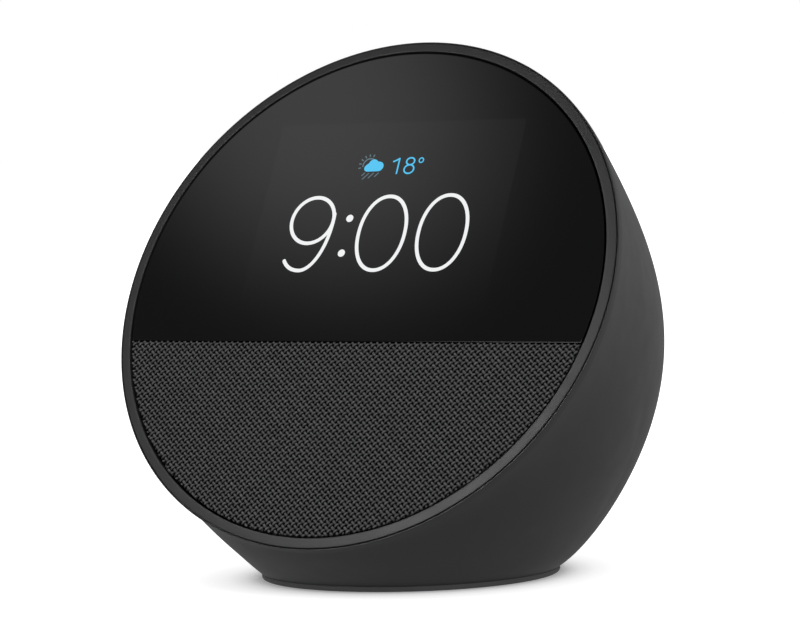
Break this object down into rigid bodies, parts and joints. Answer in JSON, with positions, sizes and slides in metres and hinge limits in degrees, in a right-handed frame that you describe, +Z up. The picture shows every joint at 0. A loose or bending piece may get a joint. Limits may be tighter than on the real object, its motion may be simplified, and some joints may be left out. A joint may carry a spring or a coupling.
{
  "type": "smart display",
  "caption": "Bedside smart display: a round tilted face with a screen above woven speaker cloth, on a domed body with a low round foot and crown buttons.",
  "frame": {"origin": "centre of the foot on the surface it stands on", "axes": "+Z up, -Y towards the front, X across; left and right mirror each other about X = 0 outside"},
  "size_m": [0.113, 0.103, 0.1091],
  "materials": {
    "housing_plastic": "fine satin texture, charcoal",
    "bezel_plastic": "satin, graphite",
    "button_plastic": "satin, raised marks",
    "cover_glass": "glossy hard-coated panel with black border print",
    "cloth": "woven acoustic cloth, charcoal",
    "black_plastic": "moulded, black",
    "lcd": "gloss black when off",
    "backlight": "pressed tray",
    "flex": "amber film",
    "sensor": "small package",
    "screw_steel": "zinc plated",
    "plate_steel": "nickel plated",
    "magnet": "nickel plated magnet",
    "soft_seal": "silicone, grey",
    "surround_rubber": "soft rubber, black",
    "cone_paper": "coated pulp, dark",
    "coil": "enamelled copper on a former",
    "spider_cloth": "resin-stiffened cloth",
    "mesh": "fine dust mesh",
    "circuit_board": "solder mask over glass laminate",
    "connector": "ivory nylon",
    "heat_sink": "as extruded",
    "antenna": "blue solder mask",
    "wire": "insulated wire",
    "jack": "black with a metal pin",
    "ballast": "raw steel",
    "foot_rubber": "matte, dark grey"
  },
  "bodies": {
    "body": {"rear_housing": "housing_plastic", "front_bezel": "bezel_plastic", "cover_glass": "cover_glass", "speaker_cloth": "cloth", "grille_plate": "black_plastic", "mid_frame": "black_plastic", "lcd_panel": "lcd", "backlight_unit": "backlight", "display_flex": "flex", "light_sensor": "sensor", "frame_screws": "screw_steel", "speaker_gasket": "soft_seal", "speaker_basket": "black_plastic", "speaker_surround": "surround_rubber", "speaker_spider": "spider_cloth", "speaker_yoke": "plate_steel", "speaker_magnet": "magnet", "pole_plate": "plate_steel", "speaker_chamber": "black_plastic", "chamber_screws": "screw_steel", "speaker_leads": "wire", "volume_down_dome": "soft_seal", "mic_mute_dome": "soft_seal", "volume_up_dome": "soft_seal", "tact_switches": "plate_steel", "button_board": "circuit_board", "button_board_screws": "screw_steel", "button_flex": "flex", "microphones": "sensor", "mic_gaskets": "soft_seal", "mic_mesh": "mesh", "main_board": "circuit_board", "board_connectors": "connector", "shield_cans": "plate_steel", "thermal_pad": "soft_seal", "heat_sink": "heat_sink", "board_screws": "screw_steel", "antenna_left": "antenna", "antenna_right": "antenna", "antenna_leads": "wire", "dc_jack": "jack", "power_board": "circuit_board", "power_leads": "wire", "power_board_screws": "screw_steel", "ballast_weight": "ballast", "ballast_screws": "screw_steel", "base_plate": "black_plastic", "base_screws": "screw_steel", "foot_pad": "foot_rubber"},
    "volume_down": {"volume_down_button": "button_plastic"},
    "mic_mute": {"mic_mute_button": "button_plastic"},
    "volume_up": {"volume_up_button": "button_plastic"},
    "cone": {"speaker_cone": "cone_paper", "dust_cap": "cone_paper", "voice_coil": "coil"}
  },
  "joints": [
    {"name": "volume_down_press", "type": "slide", "parent": "body", "child": "volume_down", "axis": [0, -0.5779, -0.8161], "range_m": [0, 0.0005], "stiffness_N_per_m": 3000, "deforming": ["volume_down_dome"]},
    {"name": "mic_mute_press", "type": "slide", "parent": "body", "child": "mic_mute", "axis": [0, -0.5779, -0.8161], "range_m": [0, 0.0005], "stiffness_N_per_m": 3000, "deforming": ["mic_mute_dome"]},
    {"name": "volume_up_press", "type": "slide", "parent": "body", "child": "volume_up", "axis": [0, -0.5779, -0.8161], "range_m": [0, 0.0005], "stiffness_N_per_m": 3000, "deforming": ["volume_up_dome"]},
    {"name": "speaker_cone_slide", "type": "slide", "parent": "body", "child": "cone", "axis": [0, -0.8805, 0.4741], "range_m": [-0.0015, 0.0015], "stiffness_N_per_m": 1500, "deforming": ["speaker_surround", "speaker_spider"]}
  ]
}
